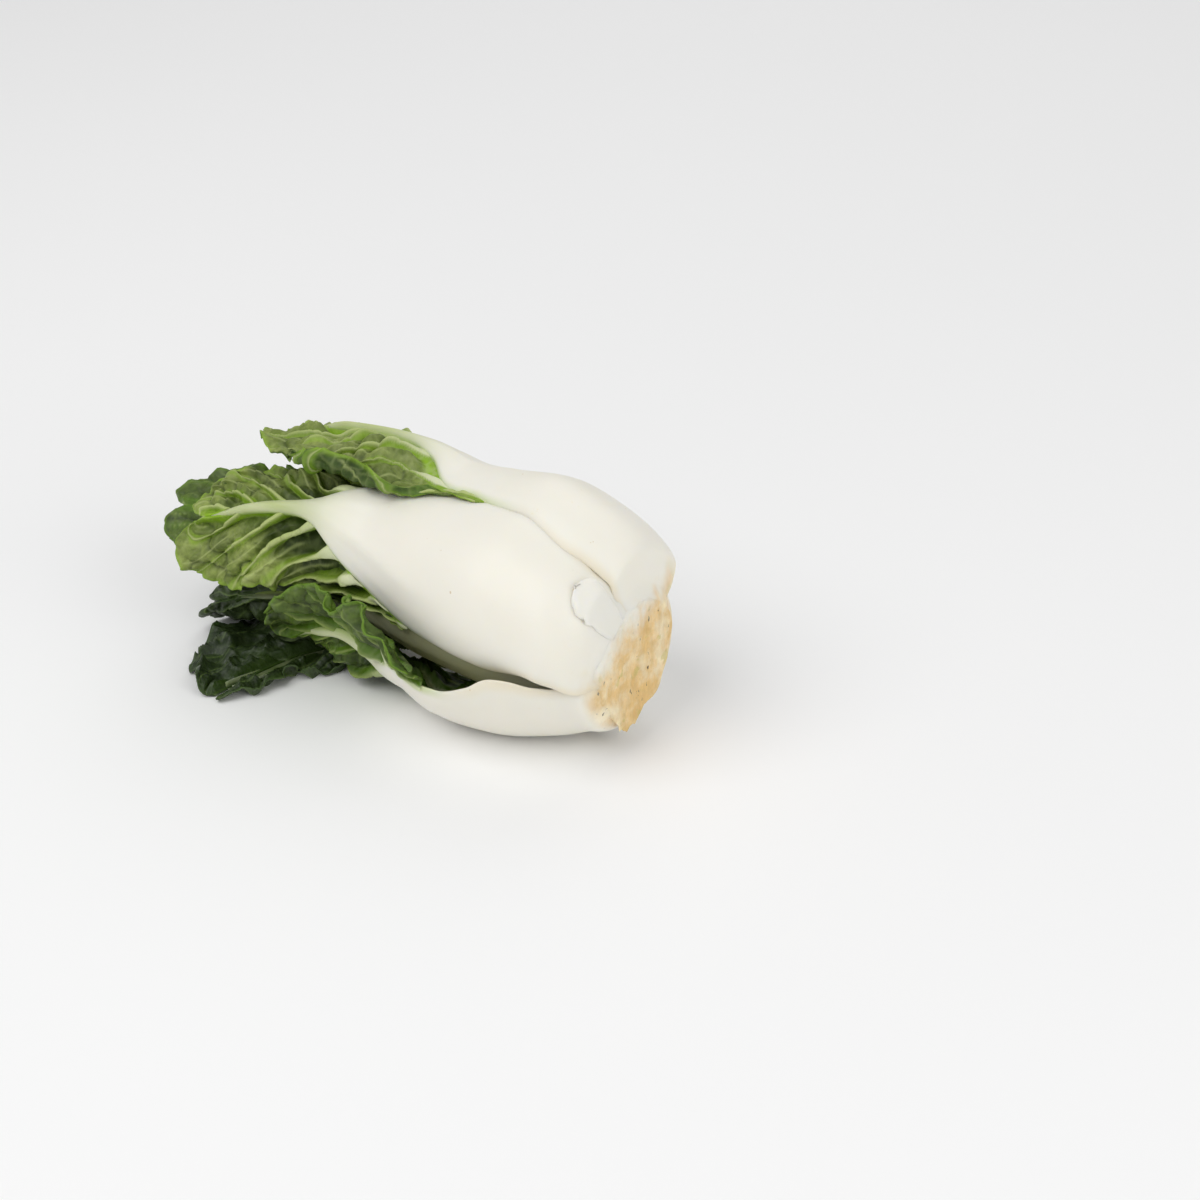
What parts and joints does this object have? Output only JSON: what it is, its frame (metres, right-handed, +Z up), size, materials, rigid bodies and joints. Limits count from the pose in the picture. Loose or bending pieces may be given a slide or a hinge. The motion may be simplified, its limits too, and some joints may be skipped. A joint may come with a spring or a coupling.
{
  "type": "bok choy",
  "caption": "Whole head of white-stalked bok choy lying on its side: thick curved stalks round a trimmed stem, with puckered dark green blades.",
  "frame": {"origin": "on the table, at the middle of the flat that the lowest stalk rests on", "axes": "+Z up from the table, +X along the head towards the cut end of the stem, leaf tips towards -X"},
  "size_m": [0.1651, 0.0897, 0.0751],
  "materials": {
    "stalk": "smooth waxy satin, ivory white, a little translucent green at the margins",
    "blade": "soft satin, puckered, with pale raised ribs",
    "stem": "rough, dry, torn, with brown specks"
  },
  "bodies": {
    "root": {"cut_stem": "stem", "trimmed_stub": "stalk", "front_stalk": "stalk", "front_blade": "blade", "top_stalk": "stalk", "top_blade": "blade", "low_front_stalk": "stalk", "low_front_blade": "blade", "back_stalk": "stalk", "back_blade": "blade", "low_back_stalk": "stalk", "low_back_blade": "blade", "inner_1_stalk": "stalk", "inner_1_blade": "blade", "inner_2_stalk": "stalk", "inner_2_blade": "blade", "inner_3_stalk": "stalk", "inner_3_blade": "blade", "inner_4_stalk": "stalk", "inner_4_blade": "blade"}
  },
  "joints": []
}
